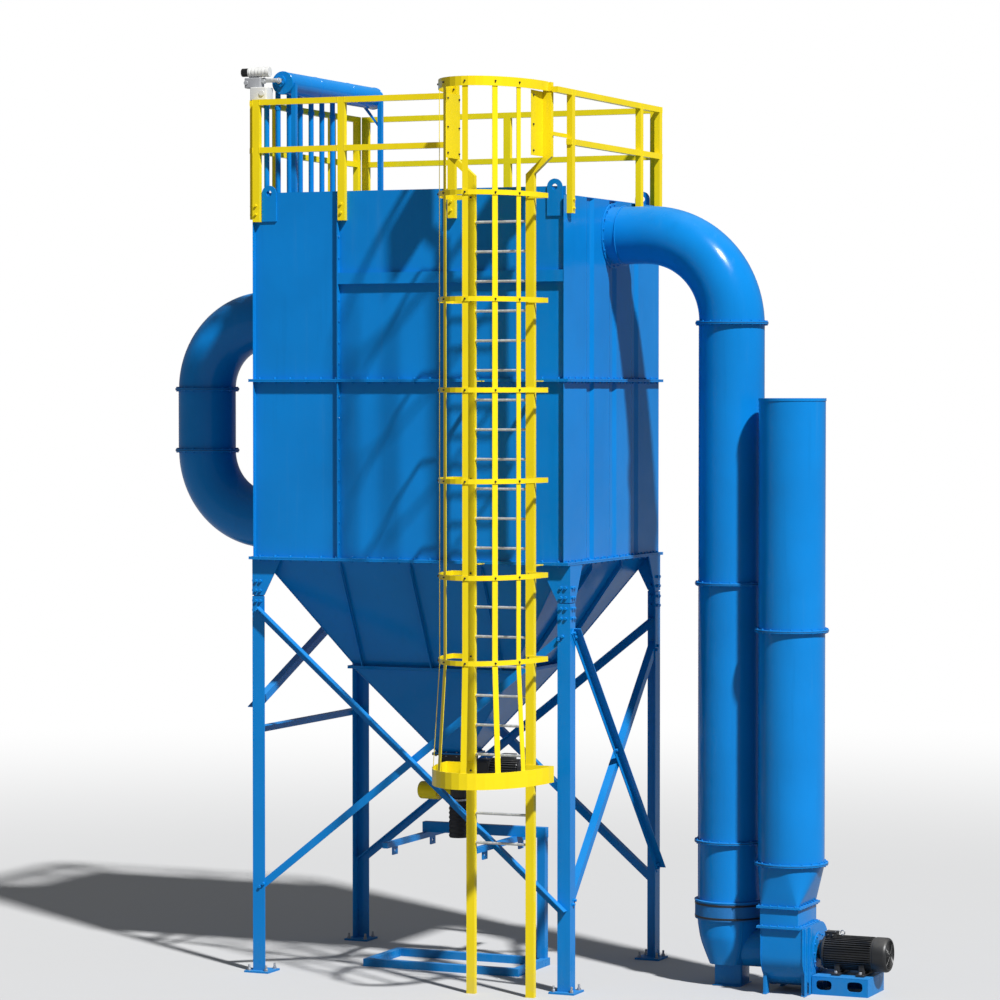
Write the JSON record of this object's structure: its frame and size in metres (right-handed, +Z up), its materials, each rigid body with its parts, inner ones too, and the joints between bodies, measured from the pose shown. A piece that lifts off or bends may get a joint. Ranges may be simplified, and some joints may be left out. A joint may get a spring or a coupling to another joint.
{
  "type": "baghouse dust collector",
  "caption": "Baghouse dust collector on angle legs with hopper, rotary valve, bag frame, return duct, clean air duct, fan with stack, caged ladder and roof rails.",
  "frame": {"origin": "middle of the underside of the whole at floor level", "axes": "+Z up, -Y is the front with the ladder, +X towards the fan and stack"},
  "size_m": [8.241, 4.0386, 9.5459],
  "materials": {
    "blue_paint": "satin enamel, weathered",
    "yellow_paint": "satin enamel",
    "zinc": "galvanised",
    "dark_paint": "matt enamel",
    "black_rubber": "matt",
    "joint_cloth": "coated cloth"
  },
  "bodies": {
    "root": {"air_header": "blue_paint", "bag_frame": "blue_paint", "blow_pipes": "blue_paint", "cage_hoops": "yellow_paint", "cage_straps": "yellow_paint", "crossed_braces": "blue_paint", "discharge_sleeve": "black_rubber", "duct_flexible_joint": "joint_cloth", "fan_inlet_box": "blue_paint", "fan_motor": "dark_paint", "fan_scroll": "blue_paint", "guard_rail_back": "yellow_paint", "guard_rail_front": "yellow_paint", "guard_rail_left": "yellow_paint", "guard_rail_right": "yellow_paint", "header_inlet_valve": "zinc", "hopper_band": "blue_paint", "hopper_flange": "blue_paint", "ladder_rungs": "zinc", "ladder_side_plates": "yellow_paint", "ladder_stiles": "yellow_paint", "left_braces": "blue_paint", "left_duct_high_bend": "blue_paint", "left_duct_low_bend": "blue_paint", "left_duct_middle": "blue_paint", "leg_columns": "blue_paint", "leg_heads": "blue_paint", "lifting_lugs": "blue_paint", "lower_back_wall": "blue_paint", "lower_front_wall": "blue_paint", "lower_hopper": "blue_paint", "lower_left_wall": "blue_paint", "lower_right_wall": "blue_paint", "mid_flange": "blue_paint", "motor_base": "blue_paint", "motor_cowl": "dark_paint", "right_duct_bend": "blue_paint", "right_duct_lower": "blue_paint", "right_duct_middle": "blue_paint", "right_duct_upper": "blue_paint", "roof": "blue_paint", "rotary_valve": "dark_paint", "spout_branch": "yellow_paint", "stack_collar": "blue_paint", "stack_lower": "blue_paint", "stack_transition": "blue_paint", "stack_upper": "blue_paint", "upper_back_wall": "blue_paint", "upper_front_wall": "blue_paint", "upper_hopper": "blue_paint", "upper_left_wall": "blue_paint", "upper_right_wall": "blue_paint", "valve_gearbox": "dark_paint", "valve_motor": "dark_paint"}
  },
  "joints": []
}
